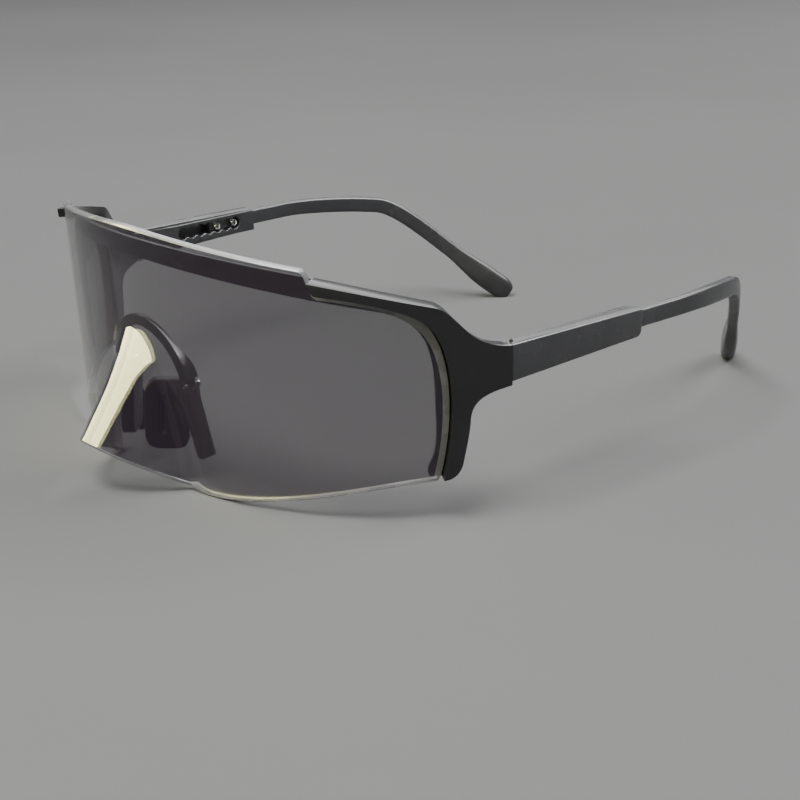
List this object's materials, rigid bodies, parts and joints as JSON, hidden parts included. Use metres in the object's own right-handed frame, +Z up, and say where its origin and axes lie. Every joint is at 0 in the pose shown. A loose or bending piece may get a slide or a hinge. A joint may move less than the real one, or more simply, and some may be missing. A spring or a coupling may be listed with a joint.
{
  "type": "wraparound sport sunglasses",
  "caption": "Wraparound sport sunglasses: one curved shield lens with a nose beak in a half frame, folding temples that slide to change length, and tilting nose pads on an arch.",
  "frame": {"origin": "on the ground, under the middle of the object's box; it stands on the bottom edge of its lens and on both ear tips", "axes": "+Z up, the front faces -Y, +X is the wearer's left"},
  "size_m": [0.1498, 0.179, 0.0583],
  "materials": {
    "frame_plastic": "satin black moulded plastic",
    "lens_tint": "smoke-grey tinted polycarbonate, polished",
    "temple_plastic": "satin dark grey moulded plastic",
    "soft_rubber": "matt soft rubber",
    "pin_steel": "bright turned steel"
  },
  "bodies": {
    "front": {"front_frame": "frame_plastic", "lens": "lens_tint", "nose_bracket": "frame_plastic", "nose_leg_pin_left": "pin_steel", "hinge_screw_left": "pin_steel", "nose_leg_pin_right": "pin_steel", "hinge_screw_right": "pin_steel"},
    "left_temple": {"temple_sleeve_left": "temple_plastic", "sleeve_cover_left": "temple_plastic"},
    "left_arm": {"temple_arm_left": "temple_plastic", "ear_tip_left": "soft_rubber", "detent_pin_1_left": "pin_steel", "detent_pin_2_left": "pin_steel"},
    "left_pad": {"nose_leg_left": "frame_plastic", "nose_pad_left": "soft_rubber"},
    "right_temple": {"temple_sleeve_right": "temple_plastic", "sleeve_cover_right": "temple_plastic"},
    "right_arm": {"temple_arm_right": "temple_plastic", "ear_tip_right": "soft_rubber", "detent_pin_1_right": "pin_steel", "detent_pin_2_right": "pin_steel"},
    "right_pad": {"nose_leg_right": "frame_plastic", "nose_pad_right": "soft_rubber"}
  },
  "joints": [
    {"name": "left_fold", "type": "hinge", "parent": "front", "child": "left_temple", "pos_m": [0.07052, -0.02928, 0.0332], "axis": [0, 0, 1], "range_deg": [0, 90]},
    {"name": "left_length", "type": "slide", "parent": "left_temple", "child": "left_arm", "axis": [0.0366, 0.9993, 0], "range_m": [-0.012, 0]},
    {"name": "left_pad_tilt", "type": "hinge", "parent": "front", "child": "left_pad", "pos_m": [0.01302, -0.06911, 0.0232], "axis": [0.1413, -0.99, 0], "range_deg": [-5, 5]},
    {"name": "right_fold", "type": "hinge", "parent": "front", "child": "right_temple", "pos_m": [-0.07052, -0.02928, 0.0332], "axis": [0, 0, -1], "range_deg": [0, 80]},
    {"name": "right_length", "type": "slide", "parent": "right_temple", "child": "right_arm", "axis": [-0.0366, 0.9993, 0], "range_m": [-0.012, 0]},
    {"name": "right_pad_tilt", "type": "hinge", "parent": "front", "child": "right_pad", "pos_m": [-0.01302, -0.06911, 0.0232], "axis": [0.1413, 0.99, 0], "range_deg": [-5, 5]}
  ]
}
